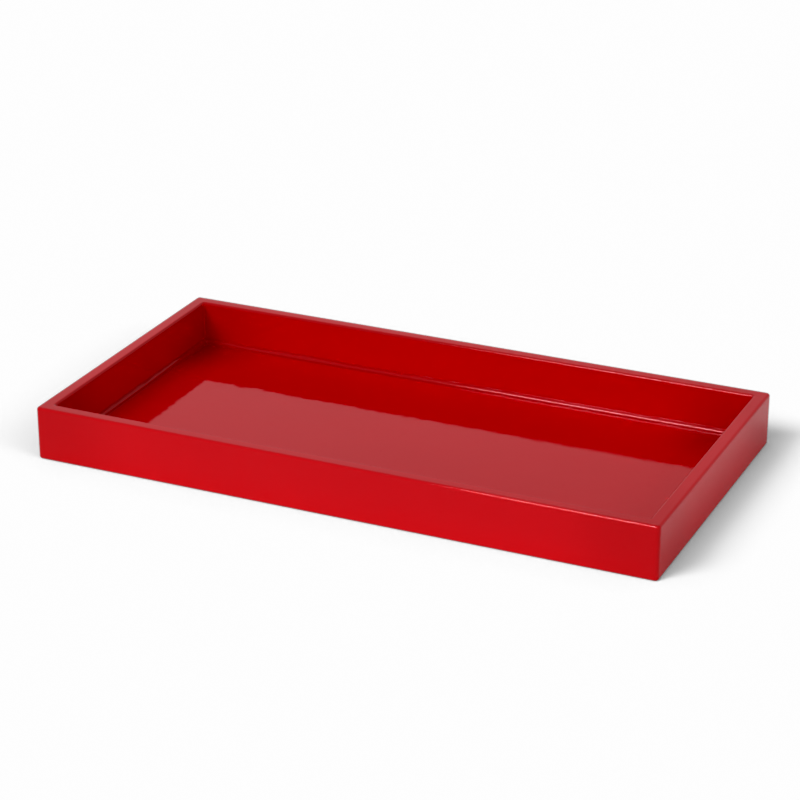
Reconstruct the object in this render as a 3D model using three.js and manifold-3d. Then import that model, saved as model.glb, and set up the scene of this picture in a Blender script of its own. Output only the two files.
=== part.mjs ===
// A lacquered rectangular tray: four mitred walls round a floor panel, in millimetres, +Z up.
// The origin is the centre of the underside. +X runs along the tray and -Y is its front.
import * as THREE from "three";
import { mergeVertices } from "three/addons/utils/BufferGeometryUtils.js";
import Module from "manifold-3d";

// The tray as a whole
const LENGTH = 600;
const WIDTH = 310;
const HEIGHT = 51;

// The boards, with their lacquer
const WALL = 13.3;
const PANEL = 6.2;
const PANEL_LIFT = 2; // from the underside up to the panel

// The soft edges
const OUTER_ROUND = 2.4; // the outside edges round the rim and the underside
const CORNER_ROUND = 3; // the four vertical corners, in plan
const RIM_ROUND = 1.2; // the rim's inner edge
const FOOT_ROUND = 0.8; // the underside's inner edge
const ROUND_STEPS = 6; // flats in each rounded edge

// The panel's groove in each wall
const GROOVE_DEPTH = 5;
const GROOVE_SLACK = 0.2; // between the panel's top face and the groove's upper cheek
const PANEL_SLACK = 0.5; // between the panel's edge and the groove's bottom

// The glued mitres
const GLUE_LINE = 0.2;

// The brads that pin each mitre, driven through the long walls into the ends of the short ones
const BRAD_LENGTH = 25;
const BRAD_RADIUS = 0.6;
const BRAD_POINT = 2;
const BRAD_HEAD_RADIUS = 1;
const BRAD_HEAD = 0.8; // the head's thickness
const BRAD_SET = 1.2; // from the wall's outer face down to the head, filled and lacquered over
const BRAD_FIT = 0.15; // the gap all round a brad in its hole
const BRAD_BELOW_RIM = 14;
const BRAD_ABOVE_FOOT = 17;
const BRAD_SIDES = 10;

const GROOVE_LOW = PANEL_LIFT;
const GROOVE_HIGH = PANEL_LIFT + PANEL + GROOVE_SLACK;
const BRAD_HEIGHTS = { lower: BRAD_ABOVE_FOOT, upper: HEIGHT - BRAD_BELOW_RIM };
const QUARTER = Math.PI / 2;

const wasm = await Module();
wasm.setup();

const lacquer = new THREE.MeshStandardMaterial({ color: 0xbe141b, roughness: 0.08, metalness: 0 });
const steel = new THREE.MeshStandardMaterial({ color: 0x9a9c9e, roughness: 0.35, metalness: 1 });

// A closed geometry as a solid that can be cut and joined
function solidOf(geometry) {
  const bare = geometry.clone();
  bare.deleteAttribute("normal");
  bare.deleteAttribute("uv");
  const merged = mergeVertices(bare, 1e-4);
  const corners = merged.index.array;
  const kept = [];
  for (let i = 0; i < corners.length; i += 3) {
    const [a, b, c] = corners.slice(i, i + 3);
    if (a !== b && b !== c && c !== a) kept.push(a, b, c);
  }
  return new wasm.Manifold(
    new wasm.Mesh({
      numProp: 3,
      vertProperties: new Float32Array(merged.attributes.position.array),
      triVerts: new Uint32Array(kept),
    }),
  );
}

// A solid as a named mesh
function meshOf(name, solid, material) {
  const cut = solid.getMesh();
  const geometry = new THREE.BufferGeometry();
  geometry.setAttribute("position", new THREE.BufferAttribute(new Float32Array(cut.vertProperties), 3));
  geometry.setIndex(new THREE.BufferAttribute(new Uint32Array(cut.triVerts), 1));
  geometry.computeVertexNormals();
  const mesh = new THREE.Mesh(geometry, material);
  mesh.name = name;
  return mesh;
}

// A block the size of the whole tray with every outside edge and corner rounded
function softBlock(length, width) {
  const x = length / 2 - OUTER_ROUND;
  const y = width / 2 - OUTER_ROUND;
  const corner = CORNER_ROUND - OUTER_ROUND;
  const plan = new THREE.Shape();
  plan.absarc(x - corner, y - corner, corner, 0, QUARTER);
  plan.absarc(-x + corner, y - corner, corner, QUARTER, 2 * QUARTER);
  plan.absarc(-x + corner, -y + corner, corner, 2 * QUARTER, 3 * QUARTER);
  plan.absarc(x - corner, -y + corner, corner, 3 * QUARTER, 4 * QUARTER);
  const block = new THREE.ExtrudeGeometry(plan, {
    depth: HEIGHT - 2 * OUTER_ROUND,
    bevelThickness: OUTER_ROUND,
    bevelSize: OUTER_ROUND,
    bevelSegments: ROUND_STEPS,
    curveSegments: ROUND_STEPS / 2,
  });
  return solidOf(block.translate(0, 0, OUTER_ROUND));
}

// A wall's section: across from its outer face at 0 to its inner face at WALL, and up from the underside.
// The outer edges are left square here, and the soft block rounds them.
function wallSection() {
  const section = new THREE.Shape();
  const grooveBottom = WALL - GROOVE_DEPTH;
  section.moveTo(0, 0);
  section.lineTo(WALL - FOOT_ROUND, 0);
  section.absarc(WALL - FOOT_ROUND, FOOT_ROUND, FOOT_ROUND, -QUARTER, 0);
  section.lineTo(WALL, GROOVE_LOW);
  section.lineTo(grooveBottom, GROOVE_LOW);
  section.lineTo(grooveBottom, GROOVE_HIGH);
  section.lineTo(WALL, GROOVE_HIGH);
  section.lineTo(WALL, HEIGHT - RIM_ROUND);
  section.absarc(WALL - RIM_ROUND, HEIGHT - RIM_ROUND, RIM_ROUND, 0, QUARTER);
  section.lineTo(0, HEIGHT);
  section.closePath();
  return section;
}

// One mitred wall, lying along X with its outer face towards -Y, half the tray's width from the centre
function wallSolid(run, across) {
  const outer = -across / 2;
  const inner = outer + WALL;
  const board = new THREE.ExtrudeGeometry(wallSection(), {
    depth: run,
    bevelEnabled: false,
    curveSegments: ROUND_STEPS / 2,
  });
  const acrossUpAlong = new THREE.Matrix4().makeBasis(
    new THREE.Vector3(0, 1, 0),
    new THREE.Vector3(0, 0, 1),
    new THREE.Vector3(1, 0, 0),
  );
  board.applyMatrix4(acrossUpAlong).translate(-run / 2, outer, 0);

  const glue = (GLUE_LINE / 2) * Math.SQRT2; // along the wall, for half the glue line square to the mitre
  const tip = run / 2 - glue;
  const mitres = new THREE.Shape([
    new THREE.Vector2(-tip, outer),
    new THREE.Vector2(tip, outer),
    new THREE.Vector2(tip - WALL, inner),
    new THREE.Vector2(-tip + WALL, inner),
  ]);
  const plan = new THREE.ExtrudeGeometry(mitres, { depth: HEIGHT, bevelEnabled: false });
  return solidOf(board).intersect(solidOf(plan)).intersect(softBlock(run, across));
}

// A brad along +Y with the top of its head at the origin, or the hole that it leaves when fit is above 0
function bradForm(fit) {
  const profile = [
    [0, -fit],
    [BRAD_HEAD_RADIUS + fit, -fit],
    [BRAD_HEAD_RADIUS + fit, BRAD_HEAD + fit],
    [BRAD_RADIUS + fit, BRAD_HEAD + fit],
    [BRAD_RADIUS + fit, BRAD_LENGTH - BRAD_POINT],
    [0, BRAD_LENGTH + fit],
  ];
  const points = profile.map(([radius, along]) => new THREE.Vector2(radius, along));
  return new THREE.LatheGeometry(points, BRAD_SIDES);
}

// The long walls take the brads near their ends, square through the outer face
function longWall() {
  let wall = wallSolid(LENGTH, WIDTH);
  for (const side of [-1, 1])
    for (const height of Object.values(BRAD_HEIGHTS)) {
      const hole = bradForm(BRAD_FIT);
      hole.translate(side * (LENGTH / 2 - WALL / 2), -WIDTH / 2 + BRAD_SET, height);
      wall = wall.subtract(solidOf(hole));
    }
  return wall;
}

// The short walls take the same brads in their mitred ends
function shortWall() {
  let wall = wallSolid(WIDTH, LENGTH);
  for (const side of [-1, 1])
    for (const height of Object.values(BRAD_HEIGHTS)) {
      const hole = bradForm(BRAD_FIT).rotateZ(side * QUARTER);
      hole.translate(side * (WIDTH / 2 - BRAD_SET), -LENGTH / 2 + WALL / 2, height);
      wall = wall.subtract(solidOf(hole));
    }
  return wall;
}

// The floor of the tray, lying in the grooves
function basePanel() {
  const reach = 2 * (WALL - GROOVE_DEPTH + PANEL_SLACK);
  const panel = new THREE.BoxGeometry(LENGTH - reach, WIDTH - reach, PANEL);
  const mesh = new THREE.Mesh(panel, lacquer);
  mesh.name = "base_panel";
  mesh.position.z = PANEL_LIFT + PANEL / 2;
  return mesh;
}

function walls() {
  const group = new THREE.Group();
  const long = longWall();
  const short = shortWall();
  const places = [
    ["front_wall", long, 0],
    ["right_wall", short, 1],
    ["back_wall", long, 2],
    ["left_wall", short, 3],
  ];
  for (const [name, solid, quarters] of places) {
    const wall = meshOf(name, solid, lacquer);
    wall.rotation.z = quarters * QUARTER;
    group.add(wall);
  }
  return group;
}

function brads() {
  const group = new THREE.Group();
  const solid = solidOf(bradForm(0));
  for (const [end, alongX] of [["left", -1], ["right", 1]])
    for (const [edge, alongY] of [["front", -1], ["back", 1]])
      for (const [level, height] of Object.entries(BRAD_HEIGHTS)) {
        const brad = meshOf(`brad_${edge}_${end}_${level}`, solid, steel);
        brad.position.set(alongX * (LENGTH / 2 - WALL / 2), alongY * (WIDTH / 2 - BRAD_SET), height);
        brad.rotation.z = alongY > 0 ? Math.PI : 0;
        group.add(brad);
      }
  return group;
}

const tray = new THREE.Group();
tray.add(walls(), basePanel(), brads());

export default tray;
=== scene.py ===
"""A long serving tray under thick, high-gloss red lacquer, standing in a white studio."""
import math
from typing import NamedTuple

import bmesh
import bpy
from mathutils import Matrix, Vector


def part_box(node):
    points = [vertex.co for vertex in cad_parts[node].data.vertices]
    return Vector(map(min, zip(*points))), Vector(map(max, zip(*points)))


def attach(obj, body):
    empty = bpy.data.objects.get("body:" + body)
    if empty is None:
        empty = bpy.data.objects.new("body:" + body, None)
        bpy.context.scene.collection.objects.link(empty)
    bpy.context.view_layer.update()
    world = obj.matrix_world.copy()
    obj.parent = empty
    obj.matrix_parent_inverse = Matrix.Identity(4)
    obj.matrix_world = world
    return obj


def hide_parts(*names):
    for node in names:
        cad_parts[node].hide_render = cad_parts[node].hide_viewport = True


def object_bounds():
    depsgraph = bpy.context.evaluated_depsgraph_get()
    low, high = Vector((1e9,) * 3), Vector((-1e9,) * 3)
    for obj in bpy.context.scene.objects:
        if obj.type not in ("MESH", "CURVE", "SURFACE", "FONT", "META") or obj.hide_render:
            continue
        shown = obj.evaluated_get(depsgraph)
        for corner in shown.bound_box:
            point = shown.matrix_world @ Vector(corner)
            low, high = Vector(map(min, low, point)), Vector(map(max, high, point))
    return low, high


bl_info = {
    "name": "Lacquered Tray",
    "version": (1, 0, 0),
    "blender": (4, 5, 0),
    "location": "View3D > Sidebar > Tray",
    "description": "Models a lacquered serving tray board by board and sets up its studio",
    "category": "Add Mesh",
}

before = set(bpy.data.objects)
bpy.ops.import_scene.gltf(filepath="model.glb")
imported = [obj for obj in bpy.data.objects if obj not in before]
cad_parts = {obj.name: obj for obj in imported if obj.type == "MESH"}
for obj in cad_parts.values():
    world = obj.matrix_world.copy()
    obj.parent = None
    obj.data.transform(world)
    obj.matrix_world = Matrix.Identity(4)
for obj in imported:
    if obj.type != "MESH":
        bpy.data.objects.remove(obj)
CAD_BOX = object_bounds()

LACQUER_SLOT = "lacquered_board"

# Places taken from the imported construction, in metres
TRAY_LOW, TRAY_HIGH = CAD_BOX
FRONT_LOW, FRONT_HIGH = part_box("front_wall")
PANEL_LOW, PANEL_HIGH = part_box("base_panel")
WALL = FRONT_HIGH.y - FRONT_LOW.y
OPENING_LOW = Vector((TRAY_LOW.x + WALL, TRAY_LOW.y + WALL, PANEL_HIGH.z))
OPENING_HIGH = Vector((TRAY_HIGH.x - WALL, TRAY_HIGH.y - WALL, TRAY_HIGH.z))
BRADS = sorted(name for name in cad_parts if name.startswith("brad_"))

# Each wall's name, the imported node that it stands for, and the way that its outer face looks
WALLS = {
    "front_board": ("front_wall", Vector((0, -1, 0))),
    "back_board": ("back_wall", Vector((0, 1, 0))),
    "left_board": ("left_wall", Vector((-1, 0, 0))),
    "right_board": ("right_wall", Vector((1, 0, 0))),
}

MM = 0.001
NEAR = 1e-5  # how close two lengths are to count as the same, in metres

# How many flats make up each rounded edge
CORNER_FLATS = 9
OUTER_FLATS = 8
INNER_CORNER_FLATS = 7
RIM_FLATS = 6
BEAD_FLATS = 12
LIP_FLATS = 2

# Faces that meet at less than this angle are shaded as one surface, in degrees
BOARD_SMOOTH = 38
BEAD_SMOOTH = 50


def length(name, description, default):
    """A length that a user can set, in metres."""
    return bpy.props.FloatProperty(
        name=name, description=description, default=default, min=0, unit="LENGTH", precision=5
    )


def plain(name, description, default):
    """A number that a user can set."""
    return bpy.props.FloatProperty(name=name, description=description, default=default, precision=4)


def turn(name, description, degrees):
    """An angle that a user can set."""
    return bpy.props.FloatProperty(
        name=name,
        description=description,
        default=math.radians(degrees),
        subtype="ANGLE",
        unit="ROTATION",
    )


def colour(name, description, default):
    """A colour that a user can set, in linear light."""
    return bpy.props.FloatVectorProperty(
        name=name, description=description, default=default, size=3, min=0, max=1, subtype="COLOR"
    )


def group(kind, name, description):
    """A group of settings within a larger one."""
    return bpy.props.PointerProperty(type=kind, name=name, description=description)


class TrayShape(bpy.types.PropertyGroup):
    """The soft edges and the lacquer's body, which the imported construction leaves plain."""

    corner_round: length("Corner round", "Radius of the four upright outer corners", 3.6 * MM)
    outer_round: length("Outer round", "Radius of the outer edges of rim and underside", 2.4 * MM)
    rim_round: length("Rim round", "Radius of the rim's inner edge", 2.6 * MM)
    foot_round: length("Foot round", "Radius of the underside's inner edge", 0.8 * MM)
    inner_corner: length("Inner corner", "Radius of the lacquer in the upright inner corners", 1.6 * MM)
    groove_slack: length("Groove slack", "Gap between the floor board and its groove", 0.2 * MM)
    bead_size: length("Bead size", "Height and reach of the lacquer bead in the joint", 4.2 * MM)
    bead_lip: length("Bead lip", "Size of the little slopes along the bead's two edges", 0.5 * MM)
    bead_wander: length("Bead wander", "How far the bead's upper edge strays up and down", 0.4 * MM)
    bead_wander_span: length("Wander span", "Length of the bead's strayings", 14 * MM)
    bead_cell: length("Bead cell", "Side of the mesh cells that carry the bead's strayings", 4 * MM)
    floor_swell: length("Floor swell", "Height of the slow waves in the floor's lacquer", 0.16 * MM)
    floor_swell_span: length("Swell span", "Width of the slow waves in the floor's lacquer", 90 * MM)
    floor_cell: length("Floor cell", "Side of the mesh cells that carry the floor's waves", 5 * MM)


class LacquerFinish(bpy.types.PropertyGroup):
    """The red lacquer."""

    base: colour("Lacquer", "Colour of the lacquer", (0.66, 0.016, 0.026))
    deep: colour("Deep lacquer", "Colour where the lacquer lies thickest", (0.64, 0.015, 0.025))
    # Painted shade: the dark red laid into the inner corners and along the rim's inner edge, where shade
    # falls
    painted_shade: colour("Pooled lacquer", "Colour where it has gathered", (0.40, 0.008, 0.012))
    edge: colour("Edge", "Colour along the outer edges", (0.61, 0.015, 0.025))
    roughness: plain("Roughness", "Roughness of the polished lacquer", 0.035)
    haze: plain("Haze", "How much rougher the dull spots are", 0.03)
    ripple: length("Ripple", "Height of the slow waves in the walls' lacquer", 0.05 * MM)
    peel: length("Orange peel", "Height of the fine dimples in the lacquer", 0.0012 * MM)


class SteelFinish(bpy.types.PropertyGroup):
    """The brads' drawn wire."""

    dark: colour("Dark steel", "Colour between the bright streaks", (0.33, 0.34, 0.35))
    bright: colour("Bright steel", "Colour of the bright streaks", (0.55, 0.56, 0.57))
    roughness: plain("Roughness", "Roughness between the bright streaks", 0.28)
    drag: plain("Drag", "How much rougher the bright streaks are", 0.16)


class StudioSetup(bpy.types.PropertyGroup):
    """Camera, lights, floor and picture."""

    azimuth: turn("Azimuth", "How far round to the right the camera stands", 24.43)
    elevation: turn("Elevation", "How high the camera looks down from", 23.29)
    distance: length("Distance", "From the camera to the point it looks at", 2.510)
    lens: plain("Lens", "Focal length in millimetres on a 36 mm sensor", 116.8)
    key_power: plain("Key power", "Strength of the main lights, as a share of their own", 1.0)
    lamp_glow: plain("Lamp glow", "Brightness of the lamp seen in the edges", 40.0)
    floor_gain: plain("Floor gain", "Brightness of the studio floor", 1.05)
    paper_gain: plain("Paper gain", "How much brighter the picture shows the studio floor", 1.3)
    paper_curve: plain("Paper curve", "Contrast of the studio floor in the picture, from 1 up", 1.1)
    black: plain("Black point", "What the picture shows as black, on its own scale of 0 to 1", 0.165)
    softness: plain("Softness", "How much the picture is softened, from 0 to 1", 0.6)
    sharpness: plain("Sharpness", "How much the picture is sharpened, from 0 to 1", 0.12)


class TraySettings(bpy.types.PropertyGroup):
    """All that can be set."""

    shape: group(TrayShape, "Shape", "The soft edges and the lacquer's body")
    lacquer: group(LacquerFinish, "Lacquer", "The red lacquer")
    steel: group(SteelFinish, "Steel", "The brads' drawn wire")
    studio: group(StudioSetup, "Studio", "Camera, lights, floor and picture")


# Shader maths

# The Mix node's sockets for colours, by their places among its inputs and outputs
MIX_LOW = 6
MIX_HIGH = 7
MIX_RESULT = 2


class Wire:
    """A socket in a node tree, or a way to make nodes there, so that shader maths reads as Python."""

    def __init__(self, tree, socket=None):
        self.tree = tree
        self.socket = socket

    def make(self, kind, inputs=None, output=0, **settings):
        """Adds a node: its settings first, then the values or links of its sockets."""
        node = self.tree.nodes.new(kind)
        for name, value in settings.items():
            setattr(node, name, value)
        for name, value in (inputs or {}).items():
            if isinstance(value, Wire):
                value.feed(node, name)
            elif node.inputs[name].type == "RGBA":
                node.inputs[name].default_value = (*value, 1)
            else:
                node.inputs[name].default_value = value
        return Wire(self.tree, node.outputs[output])

    def feed(self, node, name):
        """Links this to a node's socket."""
        self.tree.links.new(self.socket, node.inputs[name])

    def math(self, operation, *values):
        """Adds a Math node on these numbers or wires."""
        return self.make("ShaderNodeMath", dict(enumerate(values)), operation=operation)

    def __add__(self, other):
        return self.math("ADD", self, other)

    def __sub__(self, other):
        return self.math("SUBTRACT", self, other)

    def __mul__(self, other):
        return self.math("MULTIPLY", self, other)

    def __pow__(self, other):
        return self.math("POWER", self, other)

    def __radd__(self, other):
        return self.math("ADD", other, self)

    def __rsub__(self, other):
        return self.math("SUBTRACT", other, self)

    def __rmul__(self, other):
        return self.math("MULTIPLY", other, self)

    def __abs__(self):
        return self.math("ABSOLUTE", self)

    def least(self, other):
        return self.math("MINIMUM", self, other)

    def most(self, other):
        return self.math("MAXIMUM", self, other)

    def fade(self, start, end):
        """1 at start and 0 at end, smoothly between them."""
        return self.make(
            "ShaderNodeMapRange",
            {"Value": self, "From Min": start, "From Max": end, "To Min": 1.0, "To Max": 0.0},
            interpolation_type="SMOOTHSTEP",
        )

    def parts(self):
        """The x, y and z of this vector."""
        apart = self.make("ShaderNodeSeparateXYZ", {0: self}).socket.node
        return [Wire(self.tree, socket) for socket in apart.outputs]

    def dot(self, direction):
        """The dot product with a direction."""
        return self.make(
            "ShaderNodeVectorMath", {0: self, 1: tuple(direction)}, "Value", operation="DOT_PRODUCT"
        )

    def stretched(self, factors):
        """The vector with its axes multiplied."""
        return self.make("ShaderNodeVectorMath", {0: self, 1: factors}, operation="MULTIPLY")

    def noise(self, span, detail, roughness=0.5):
        """Noise from 0 to 1 over this position, its features about span wide."""
        return self.make(
            "ShaderNodeTexNoise",
            {"Vector": self, "Scale": 1 / span, "Detail": detail, "Roughness": roughness},
            "Fac",
        )

    def between(self, low, high):
        """The colour low where this is 0 and high where it is 1."""
        return self.make(
            "ShaderNodeMix", {0: self, MIX_LOW: low, MIX_HIGH: high}, MIX_RESULT, data_type="RGBA"
        )


# Materials

# How far from each place the lacquer's colour there starts and ends its fade. The distance from an edge is
# the sum of the distances from its two faces.
EDGE_FADE = (0.9 * MM, 2.0 * MM)  # from the outer edges
RIM_FADE = (1.6 * MM, 2.7 * MM)  # from the rim's inner edge, for the painted shade there
CORNER_FADE = (15 * MM, 90 * MM)  # from the upright inner corners, in plan, for the painted shade there
RIM_SHADE = 0.6  # how much of the painted shade the rim's inner edge shows

# The lacquer's patterns: how wide their features are, and the noise at which they start and end their fade
CLOUD_SPAN = 210 * MM
CLOUD_FADE = (0.35, 0.65)
DULL_SPAN = 18 * MM
DULL_FADE = (0.62, 0.4)
DIMPLE_SPAN = 3.5 * MM

# The steel's streaks
STREAKS_PER_METRE = (2200.0, 40.0, 2200.0)  # across the wire, along it and across it the other way
STREAK_FADE = (0.3, 0.7)


class Coat(NamedTuple):
    """How a piece's lacquer differs from the finish."""

    waves: float  # height of its slow waves, as a share of the finish's ripple
    wave_span: float  # their width, in metres
    lightness: float  # how light its colour is, where the finish is 1; the floor's and the bead's lower values are painted shade
    pool: float  # how much painted shade the inner corners show


# The floor and the bead are darker copies of the walls' lacquer, as painted shade
COATS = {
    "wall_lacquer": Coat(waves=1.0, wave_span=70 * MM, lightness=1.0, pool=0.28),
    "floor_lacquer": Coat(waves=1.3, wave_span=12 * MM, lightness=0.94, pool=1.0),
    "bead_lacquer": Coat(waves=2.0, wave_span=30 * MM, lightness=0.72, pool=0.5),
}


def new_material(name):
    """A new material, its Principled shader and the position on the piece."""
    material = bpy.data.materials.new(name)
    material.use_nodes = True
    tree = material.node_tree
    place = Wire(tree).make("ShaderNodeTexCoord", output="Object")
    return material, tree.nodes["Principled BSDF"], place


def edge_mask(place):
    """1 along the tray's outer edges, fading to 0 on the flats."""
    x, y, z = place.parts()
    beside = TRAY_HIGH.x - abs(x)
    before = TRAY_HIGH.y - abs(y)
    level_edge = beside.least(before) + z.least(TRAY_HIGH.z - z)
    upright_edge = beside + before
    return level_edge.least(upright_edge).fade(*EDGE_FADE)


def rim_mask(place):
    """1 along the rim's inner edge, fading to 0 on the flats."""
    x, y, z = place.parts()
    past_opening = (abs(x) - OPENING_HIGH.x).most(abs(y) - OPENING_HIGH.y)
    return (past_opening.most(0.0) + (TRAY_HIGH.z - z)).fade(*RIM_FADE)


def corner_mask(place):
    """1 at the upright inner corners, fading to 0 away from them."""
    x, y, _ = place.parts()
    beside = abs(abs(x) - OPENING_HIGH.x)
    before = abs(abs(y) - OPENING_HIGH.y)
    return ((beside ** 2.0 + before ** 2.0) ** 0.5).fade(*CORNER_FADE)


def scaled(shade, factor):
    """The colour with its parts multiplied."""
    return tuple(factor * part for part in shade)


def lacquer_colour(place, finish, coat):
    """Clouded red, with painted shade in the inner corners and on the rim's inner edge, and darker along the
    outer edges.
    """
    cloud = place.noise(CLOUD_SPAN, detail=3).fade(*CLOUD_FADE)
    body = cloud.between(scaled(finish.deep, coat.lightness), scaled(finish.base, coat.lightness))
    # Painted shade: darker red near the upright inner corners and on the rim's rounded inner edge
    darkened = (coat.pool * corner_mask(place)).most(RIM_SHADE * rim_mask(place))
    body = darkened.between(body, finish.painted_shade)
    return edge_mask(place).between(body, finish.edge)


def lacquer_material(name, finish):
    """Polished red lacquer with slow waves, fine dimples and a few dull spots."""
    coat = COATS[name]
    material, shader, place = new_material(name)
    lacquer_colour(place, finish, coat).feed(shader, "Base Color")
    dull = place.noise(DULL_SPAN, detail=4, roughness=0.6).fade(*DULL_FADE)
    (finish.roughness + finish.haze * dull).feed(shader, "Roughness")
    waves = place.noise(coat.wave_span, detail=1.5, roughness=0.4) * (coat.waves * finish.ripple)
    dimples = place.noise(DIMPLE_SPAN, detail=1) * finish.peel
    relief = {"Strength": 1.0, "Distance": 1.0, "Height": waves + dimples}
    place.make("ShaderNodeBump", relief, "Normal").feed(shader, "Normal")
    return material


def steel_material(finish):
    """Bright drawn wire, streaked along its length."""
    material, shader, place = new_material("drawn_steel")
    streaks = place.stretched(STREAKS_PER_METRE).noise(1.0, detail=3).fade(*STREAK_FADE)
    streaks.between(finish.dark, finish.bright).feed(shader, "Base Color")
    (finish.roughness + finish.drag * streaks).feed(shader, "Roughness")
    shader.inputs["Metallic"].default_value = 1
    return material


# Modelling


def deselect():
    """Goes back to object mode and leaves nothing selected."""
    if bpy.context.object and bpy.context.object.mode != "OBJECT":
        bpy.ops.object.mode_set(mode="OBJECT")
    bpy.ops.object.select_all(action="DESELECT")


def take(piece):
    """Makes the piece the only selected one."""
    deselect()
    piece.select_set(True)
    bpy.context.view_layer.objects.active = piece


def edit(piece):
    """Makes the piece the only selected one and goes to edit mode."""
    take(piece)
    bpy.ops.object.mode_set(mode="EDIT")


def block(name, low, high):
    """A cuboid between two corners, its object at the origin."""
    deselect()
    bpy.ops.mesh.primitive_cube_add(size=1, location=(low + high) / 2, scale=high - low)
    piece = bpy.context.object
    piece.name = name
    piece.data.name = name
    bpy.ops.object.transform_apply(location=True, rotation=True, scale=True)
    return piece


def pick_edges(piece, wanted):
    """Selects, in edit mode, the edges whose two ends pass the test."""
    bpy.ops.mesh.select_mode(type="EDGE")
    bpy.ops.mesh.select_all(action="DESELECT")
    mesh = bmesh.from_edit_mesh(piece.data)
    for edge in mesh.edges:
        edge.select_set(wanted(edge.verts[0].co, edge.verts[1].co))
    bmesh.update_edit_mesh(piece.data)


def round_edges(piece, wanted, radius, flats):
    """Bevels, in edit mode, the edges that pass the test."""
    pick_edges(piece, wanted)
    bpy.ops.mesh.bevel(offset=radius, offset_type="OFFSET", segments=flats, clamp_overlap=False)


def upright(a, b):
    """Whether an edge stands upright."""
    return abs(a.x - b.x) < NEAR and abs(a.y - b.y) < NEAR


def at_level(level):
    """A test for edges that lie at one height."""
    return lambda a, b: abs(a.z - level) < NEAR and abs(b.z - level) < NEAR


def inside_at_level(level, inset=0.0):
    """A test for edges at one height that lie within the tray's opening, drawn in by the inset."""
    reach = OPENING_HIGH - Vector((inset, inset, 0))
    at_this_level = at_level(level)

    def wanted(a, b):
        within = all(abs(v.x) < reach.x + NEAR and abs(v.y) < reach.y + NEAR for v in (a, b))
        return within and at_this_level(a, b)

    return wanted


def combine(piece, other, operation="DIFFERENCE"):
    """Takes the other's volume from the piece, or adds it, and removes the other."""
    take(piece)
    change = piece.modifiers.new("change", "BOOLEAN")
    change.operation = operation
    change.solver = "EXACT"
    change.object = other
    bpy.ops.object.modifier_apply(modifier=change.name)
    bpy.data.objects.remove(other)


def trim(point, outwards):
    """Removes what lies beyond a plane, in edit mode, and closes the cut."""
    bpy.ops.mesh.select_all(action="SELECT")
    bpy.ops.mesh.bisect(plane_co=point, plane_no=outwards, use_fill=True, clear_outer=True)


def heave(piece, name, span, height, vertex_group=""):
    """Moves the mesh, or one vertex group of it, up and down by soft random heights."""
    heights = bpy.data.textures.new(name, "CLOUDS")
    heights.noise_scale = span
    heights.noise_depth = 1
    change = piece.modifiers.new(name, "DISPLACE")
    change.texture = heights
    change.texture_coords = "GLOBAL"
    change.vertex_group = vertex_group
    change.direction = "Z"
    change.strength = height
    change.mid_level = 0.5
    take(piece)
    bpy.ops.object.modifier_apply(modifier=change.name)


def smooth(piece, degrees):
    """Smooth shading that keeps flat faces flat."""
    take(piece)
    bpy.ops.object.shade_smooth_by_angle(angle=math.radians(degrees))
    weigh = piece.modifiers.new("weigh", "WEIGHTED_NORMAL")
    weigh.mode = "FACE_AREA"
    weigh.weight = 100
    weigh.keep_sharp = True
    bpy.ops.object.modifier_apply(modifier=weigh.name)


def dress(piece, material, slot_name, *nodes):
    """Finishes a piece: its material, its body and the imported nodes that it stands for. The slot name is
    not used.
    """
    piece.data.materials.clear()
    piece.data.materials.append(material)
    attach(piece, "root")
    if nodes:
        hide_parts(*nodes)


# The walls


def wall_frame(shape):
    """The four walls in one: a soft-edged block, opened through, with the floor's groove inside."""
    piece = block("wall_frame", TRAY_LOW, TRAY_HIGH)
    edit(piece)
    round_edges(piece, upright, shape.corner_round, CORNER_FLATS)
    for level in (TRAY_LOW.z, TRAY_HIGH.z):
        round_edges(piece, at_level(level), shape.outer_round, OUTER_FLATS)

    past = Vector((0, 0, WALL))
    opening = block("opening", OPENING_LOW * Vector((1, 1, 0)) - past, OPENING_HIGH + past)
    edit(opening)
    round_edges(opening, upright, shape.inner_corner, INNER_CORNER_FLATS)
    combine(piece, opening)

    slack = Vector((0, 0, shape.groove_slack))
    combine(piece, block("groove", PANEL_LOW, PANEL_HIGH + slack))

    edit(piece)
    for level, radius in ((TRAY_HIGH.z, shape.rim_round), (TRAY_LOW.z, shape.foot_round)):
        round_edges(piece, inside_at_level(level), radius, RIM_FLATS)
    deselect()
    return piece


def mitred_wall(ring, name, outwards):
    """One wall of the ring, cut at its two mitres."""
    take(ring)
    bpy.ops.object.duplicate()
    wall = bpy.context.object
    wall.name = name
    wall.data.name = name
    bpy.ops.object.mode_set(mode="EDIT")
    trim((0, 0, 0), -outwards)
    run = Vector((outwards.y, outwards.x, 0))
    for along in (-run, run):
        trim(TRAY_HIGH * (outwards + along), along - outwards)
    bpy.ops.mesh.select_all(action="SELECT")
    bpy.ops.mesh.remove_doubles(threshold=NEAR)
    deselect()
    return wall


class TRAY_OT_walls(bpy.types.Operator):
    """Models the four mitred walls"""

    bl_idname = "tray.walls"
    bl_label = "Walls"

    def execute(self, context):
        settings = context.scene.tray
        ring = wall_frame(settings.shape)
        material = lacquer_material("wall_lacquer", settings.lacquer)
        for name, (node, outwards) in WALLS.items():
            wall = mitred_wall(ring, name, outwards)
            smooth(wall, BOARD_SMOOTH)
            dress(wall, material, LACQUER_SLOT, node)
        bpy.data.objects.remove(ring)
        return {"FINISHED"}


# The floor board


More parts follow.
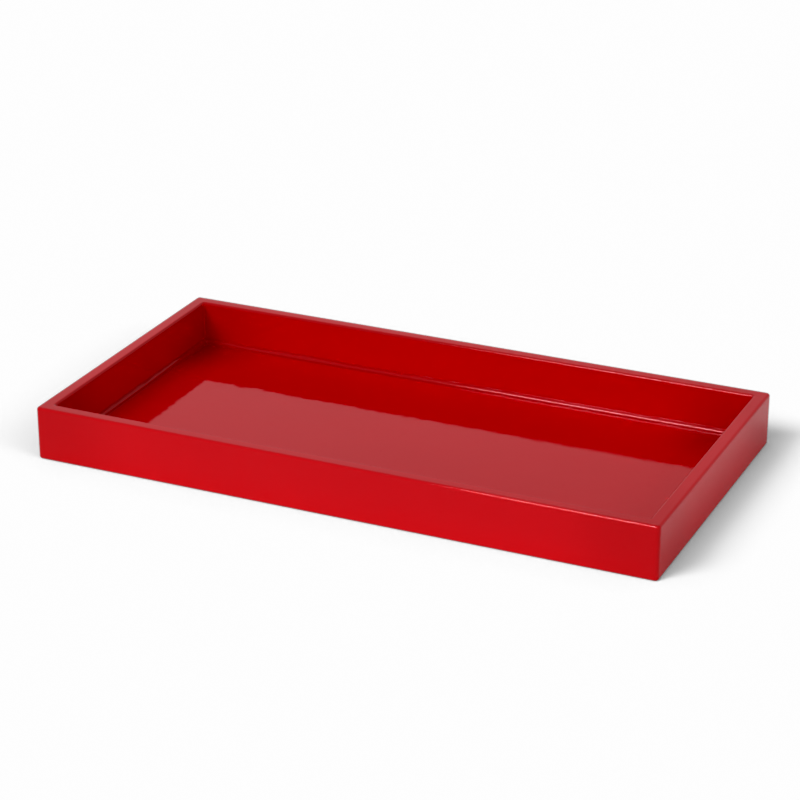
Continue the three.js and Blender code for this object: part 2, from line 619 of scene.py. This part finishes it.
def floor_board(shape):
    """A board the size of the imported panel, its top in slow waves that stay below the panel's."""
    reach = PANEL_HIGH - PANEL_LOW
    deselect()
    bpy.ops.mesh.primitive_grid_add(
        x_subdivisions=round(reach.x / shape.floor_cell),
        y_subdivisions=round(reach.y / shape.floor_cell),
        size=1,
        location=(0, 0, PANEL_HIGH.z - shape.floor_swell / 2),
    )
    piece = bpy.context.object
    piece.scale = (reach.x, reach.y, 1)
    piece.name = "floor_board"
    piece.data.name = "floor_board"
    bpy.ops.object.transform_apply(location=True, rotation=True, scale=True)
    heave(piece, "swell", shape.floor_swell_span, shape.floor_swell)
    board = piece.modifiers.new("board", "SOLIDIFY")
    board.thickness = reach.z - shape.floor_swell
    board.offset = -1
    bpy.ops.object.modifier_apply(modifier=board.name)
    bpy.ops.object.shade_smooth_by_angle(angle=math.radians(BOARD_SMOOTH))
    return piece


class TRAY_OT_floor(bpy.types.Operator):
    """Models the floor board, its lacquer in slow waves"""

    bl_idname = "tray.floor"
    bl_label = "Floor board"

    def execute(self, context):
        settings = context.scene.tray
        piece = floor_board(settings.shape)
        dress(piece, lacquer_material("floor_lacquer", settings.lacquer), LACQUER_SLOT, "base_panel")
        return {"FINISHED"}


# The bead

LIP_ROUND = 0.9  # how much of a lip's size its rounding takes
CLOUD_SPREAD = 3  # a cloud texture's strength, for each unit that it is to stray up and down


def collar(name, shape, height, reach, soft, flats):
    """A closed ring along the foot of the walls, this high and this wide, its inner top edge rounded."""
    bed = Vector((1, 1, 1)) * shape.bead_lip  # how far it runs into the walls and the floor
    low = OPENING_LOW - bed
    high = Vector((OPENING_HIGH.x, OPENING_HIGH.y, OPENING_LOW.z + height)) + bed * Vector((1, 1, 0))
    ring = block(name, low, high)
    edit(ring)
    round_edges(ring, upright, shape.inner_corner + shape.bead_lip, INNER_CORNER_FLATS)
    inset = Vector((reach, reach, 0))
    past = Vector((0, 0, shape.bead_size))
    middle = block(f"{name}_opening", OPENING_LOW + inset - past, OPENING_HIGH - inset)
    edit(middle)
    round_edges(middle, upright, shape.inner_corner, INNER_CORNER_FLATS)
    combine(ring, middle)
    edit(ring)
    round_edges(ring, inside_at_level(high.z, reach), soft, flats)
    deselect()
    return ring


def divide(piece, cell):
    """Cuts the piece's long edges into cells, so that they can wander."""
    edit(piece)
    for axis in (0, 1):
        reach = (OPENING_HIGH - OPENING_LOW)[axis]
        pick_edges(piece, lambda a, b: abs(a[axis] - b[axis]) > reach / 2)
        bpy.ops.mesh.subdivide(number_cuts=round(reach / cell))
    deselect()


def lacquer_bead(shape):
    """The lacquer that has collected all round between the walls and the floor, its upper edge wandering."""
    size = shape.bead_size
    lip = shape.bead_lip
    bead = collar("lacquer_bead", shape, size, size, size - NEAR, BEAD_FLATS)
    for name, height, reach in (("wall_lip", size + lip, lip), ("floor_lip", lip, size + lip)):
        combine(bead, collar(name, shape, height, reach, LIP_ROUND * lip, LIP_FLATS), "UNION")
    divide(bead, shape.bead_cell)
    top = OPENING_LOW.z + size - lip
    upper = bead.vertex_groups.new(name="upper_edge")
    upper.add([v.index for v in bead.data.vertices if v.co.z > top], 1, "REPLACE")
    heave(bead, "wander", shape.bead_wander_span, CLOUD_SPREAD * shape.bead_wander, upper.name)
    return bead


class TRAY_OT_bead(bpy.types.Operator):
    """Models the bead of lacquer in the joint between walls and floor"""

    bl_idname = "tray.bead"
    bl_label = "Lacquer bead"

    def execute(self, context):
        settings = context.scene.tray
        bead = lacquer_bead(settings.shape)
        smooth(bead, BEAD_SMOOTH)
        dress(bead, lacquer_material("bead_lacquer", settings.lacquer), LACQUER_SLOT)
        return {"FINISHED"}


class TRAY_OT_brads(bpy.types.Operator):
    """Gives the brads inside the corners their steel"""

    bl_idname = "tray.brads"
    bl_label = "Brads"

    def execute(self, context):
        material = steel_material(context.scene.tray.steel)
        for name in BRADS:
            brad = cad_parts[name]
            brad.data.materials.clear()
            brad.data.materials.append(material)
        return {"FINISHED"}


# The studio

AIM = Vector((-0.0536, 0.1057, 0.0))  # what the camera looks at, in metres
SENSOR = 36.0  # the width of the camera's sensor, in millimetres
STUDIO_FLOOR = "studio_floor"
STUDIO_SIDE = 60.0  # the studio floor's, in metres
SHOWN_GAMMA = 2.2  # from linear light to the picture's own scale
WHITE = 0.989  # how bright the picture shows the backdrop, and the studio floor at most
UNTINTED = (1.0, 1.0, 1.0)

# Every place below is an angle clockwise from behind the tray and an angle up, in degrees.

# The main lights: where each is, how wide it looks from the tray, in degrees, and its strength
MAIN_LIGHTS = {
    "key_steep": (-160, 50, 30, 0.6),
    "key_low": (-147, 41, 25, 0.84),
    "fill": (105, 35, 25, 0.24),
}

# The surroundings as they light the scene: even all round, with a wide glow at the front right
AMBIENT = 0.244
GLOW = 0.6
GLOW_PLACE = (145, 30)
GLOW_TIGHTNESS = 3.0

# The surroundings as they show in the gloss: even in front, and behind the tray bright near the horizon and
# darker overhead, with a weak gap in the bright part and one lamp that the edges facing the front catch
GLOSS_FRONT = 0.9
GLOSS_BRIGHT = 1.08
GLOSS_DARK = 0.72
GLOSS_TINT = (1.0, 0.78, 0.79)
GLOSS_FADE = (32, 56)  # how far up the brightness starts and ends its fade, in degrees
BEHIND_FADE = (0.35, 0.0)  # how far towards the back the part behind starts and ends its fade
GAP_PLACE = (14, 26)
GAP_REACH = (20, 38)  # how far from its middle the gap starts and ends its fade, in degrees
GAP_DEPTH = 0.34
LAMP_PLACE = (-155, 48)
LAMP_REACH = (4.2, 5.2)  # how far from its middle the lamp starts and ends its fade, in degrees
LAMP_TINT = (1.0, 0.55, 0.62)


def bearing(round_angle, height):
    """The direction of a place, given by its two angles in degrees."""
    across = math.radians(round_angle)
    up = math.radians(height)
    return Vector((math.sin(across) * math.cos(up), math.cos(across) * math.cos(up), math.sin(up)))


def around(where, place, reach):
    """1 within the near reach of a place, fading to 0 at the far reach."""
    return where.dot(bearing(*place)).fade(*(math.cos(math.radians(part)) for part in reach))


def light_given(where):
    """How bright the surroundings are as they light the scene."""
    glow = where.dot(bearing(*GLOW_PLACE)).most(0.0) ** GLOW_TIGHTNESS
    return GLOW * glow + AMBIENT


def light_mirrored(where, lamp, lamp_glow):
    """How bright the surroundings are as they show in the gloss."""
    low = where.dot((0, 0, 1)).fade(*(math.sin(math.radians(up)) for up in GLOSS_FADE))
    behind = where.dot((0, 1, 0)).fade(*BEHIND_FADE)
    clear = 1 - GAP_DEPTH * around(where, GAP_PLACE, GAP_REACH)
    bright = low * behind * clear
    dim = GLOSS_FRONT + (GLOSS_DARK - GLOSS_FRONT) * behind
    return dim + (GLOSS_BRIGHT - GLOSS_DARK) * bright + lamp_glow * lamp


def surroundings(studio):
    """A world that lights the scene one way, shows in the gloss in another, and is white to the camera."""
    world = bpy.data.worlds.new("studio")
    bpy.context.scene.world = world
    world.use_nodes = True
    tree = world.node_tree
    where = Wire(tree).make("ShaderNodeTexCoord", output="Generated")
    path = Wire(tree).make("ShaderNodeLightPath").socket.node
    seen = Wire(tree, path.outputs["Is Camera Ray"])
    mirrored = Wire(tree, path.outputs["Is Glossy Ray"])
    lamp = around(where, LAMP_PLACE, LAMP_REACH)
    gloss = light_mirrored(where, lamp, studio.lamp_glow)
    unseen = light_given(where) * (1 - mirrored) + gloss * mirrored
    shown = unseen * (1 - seen) + WHITE * seen
    background = tree.nodes["Background"]
    shown.feed(background, "Strength")
    mirrored.between(UNTINTED, lamp.between(GLOSS_TINT, LAMP_TINT)).feed(background, "Color")


def studio_floor(studio):
    """A wide white floor under the tray."""
    deselect()
    bpy.ops.mesh.primitive_plane_add(size=STUDIO_SIDE, location=(0, 0, TRAY_LOW.z))
    floor = bpy.context.object
    floor.name = STUDIO_FLOOR
    material = bpy.data.materials.new("white_paper")
    material.use_nodes = True
    tree = material.node_tree
    tree.nodes.remove(tree.nodes["Principled BSDF"])
    paper = Wire(tree).make("ShaderNodeBsdfDiffuse", {"Color": scaled(UNTINTED, studio.floor_gain)})
    paper.feed(tree.nodes["Material Output"], "Surface")
    floor.data.materials.append(material)


def main_lights(studio):
    """The wide, far off lights that give the shadows their shape and don't show in the gloss."""
    for name, (round_angle, height, softness, power) in MAIN_LIGHTS.items():
        light = bpy.data.lights.new(name, "SUN")
        light.energy = power * studio.key_power
        light.angle = math.radians(softness)
        lamp = bpy.data.objects.new(name, light)
        bpy.context.collection.objects.link(lamp)
        lamp.rotation_euler = bearing(round_angle, height).to_track_quat("Z", "Y").to_euler()
        lamp.visible_glossy = False


def camera(studio):
    """The camera, level, at the front and to the right."""
    lens = bpy.data.cameras.new("camera")
    lens.lens = studio.lens
    lens.sensor_width = SENSOR
    lens.clip_end = 4 * STUDIO_SIDE
    stand = bpy.data.objects.new("camera", lens)
    bpy.context.collection.objects.link(stand)
    back = bearing(180 - math.degrees(studio.azimuth), math.degrees(studio.elevation))
    stand.location = AIM + back * studio.distance
    stand.rotation_euler = back.to_track_quat("Z", "Y").to_euler()
    bpy.context.scene.camera = stand


def picture(studio):
    """The picture's treatment: neutral, brighter paper, a raised black point, softening and sharpening."""
    scene = bpy.context.scene
    scene.view_settings.view_transform = "Standard"
    scene.view_settings.look = "None"
    scene.cycles.use_denoising = True
    layer = bpy.context.view_layer
    layer.use_pass_cryptomatte_object = True
    scene.use_nodes = True
    tree = scene.node_tree
    tree.nodes.clear()
    shown = Wire(tree).make("CompositorNodeRLayers", output="Image")
    paper = shown.make(
        "CompositorNodeCryptomatteV2",
        output="Matte",
        layer_name=f"{layer.name}.CryptoObject",
        matte_id=STUDIO_FLOOR,
    )
    grey = shown.make("CompositorNodeRGBToBW", {0: shown})
    steps = {"MULTIPLY": studio.paper_gain, "POWER": studio.paper_curve, "MINIMUM": WHITE}
    for operation, amount in steps.items():
        grey = grey.make("CompositorNodeMath", {0: grey, 1: amount}, operation=operation)
    shown = shown.make("CompositorNodeMixRGB", {0: paper, 1: shown, 2: grey})
    shown = shown.make("CompositorNodeGamma", {0: shown, 1: 1 / SHOWN_GAMMA})
    black = scaled(UNTINTED, studio.black)
    range_above = scaled(UNTINTED, 1 - studio.black)
    shown = shown.make("CompositorNodeMixRGB", {1: shown, 2: black}, blend_type="SUBTRACT")
    shown = shown.make(
        "CompositorNodeMixRGB", {1: shown, 2: range_above}, blend_type="DIVIDE", use_clamp=True
    )
    for kind, amount in (("SOFTEN", studio.softness), ("SHARPEN_DIAMOND", studio.sharpness)):
        shown = shown.make("CompositorNodeFilter", {0: amount, 1: shown}, filter_type=kind)
    shown = shown.make("CompositorNodeGamma", {0: shown, 1: SHOWN_GAMMA})
    shown.feed(tree.nodes.new("CompositorNodeComposite"), "Image")


class TRAY_OT_stage(bpy.types.Operator):
    """Sets up the studio: floor, lights, surroundings, camera and picture"""

    bl_idname = "tray.stage"
    bl_label = "Studio"

    def execute(self, context):
        studio = context.scene.tray.studio
        camera(studio)
        studio_floor(studio)
        surroundings(studio)
        main_lights(studio)
        picture(studio)
        return {"FINISHED"}


class TRAY_PT_sidebar(bpy.types.Panel):
    """Lists the tray's pieces and settings"""

    bl_idname = "TRAY_PT_sidebar"
    bl_label = "Lacquered tray"
    bl_space_type = "VIEW_3D"
    bl_region_type = "UI"
    bl_category = "Tray"

    def draw(self, context):
        for operator in OPERATORS:
            self.layout.operator(operator.bl_idname)
        settings = context.scene.tray
        for part in (settings.shape, settings.lacquer, settings.steel, settings.studio):
            box = self.layout.box()
            for name in part.__annotations__:
                box.prop(part, name)


OPERATORS = (TRAY_OT_stage, TRAY_OT_walls, TRAY_OT_floor, TRAY_OT_bead, TRAY_OT_brads)
GROUPS = (TrayShape, LacquerFinish, SteelFinish, StudioSetup, TraySettings)
CLASSES = (*GROUPS, *OPERATORS, TRAY_PT_sidebar)


def register():
    """Makes the operators, the panel and the settings known to Blender."""
    for item in CLASSES:
        bpy.utils.register_class(item)
    bpy.types.Scene.tray = group(TraySettings, "Tray", "All that can be set on the tray")


def unregister():
    """Takes them away again."""
    del bpy.types.Scene.tray
    for item in reversed(CLASSES):
        bpy.utils.unregister_class(item)


def main():
    """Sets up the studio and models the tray."""
    register()
    bpy.ops.tray.stage()
    bpy.ops.tray.walls()
    bpy.ops.tray.floor()
    bpy.ops.tray.bead()
    bpy.ops.tray.brads()
    deselect()


if __name__ == "__main__":
    main()
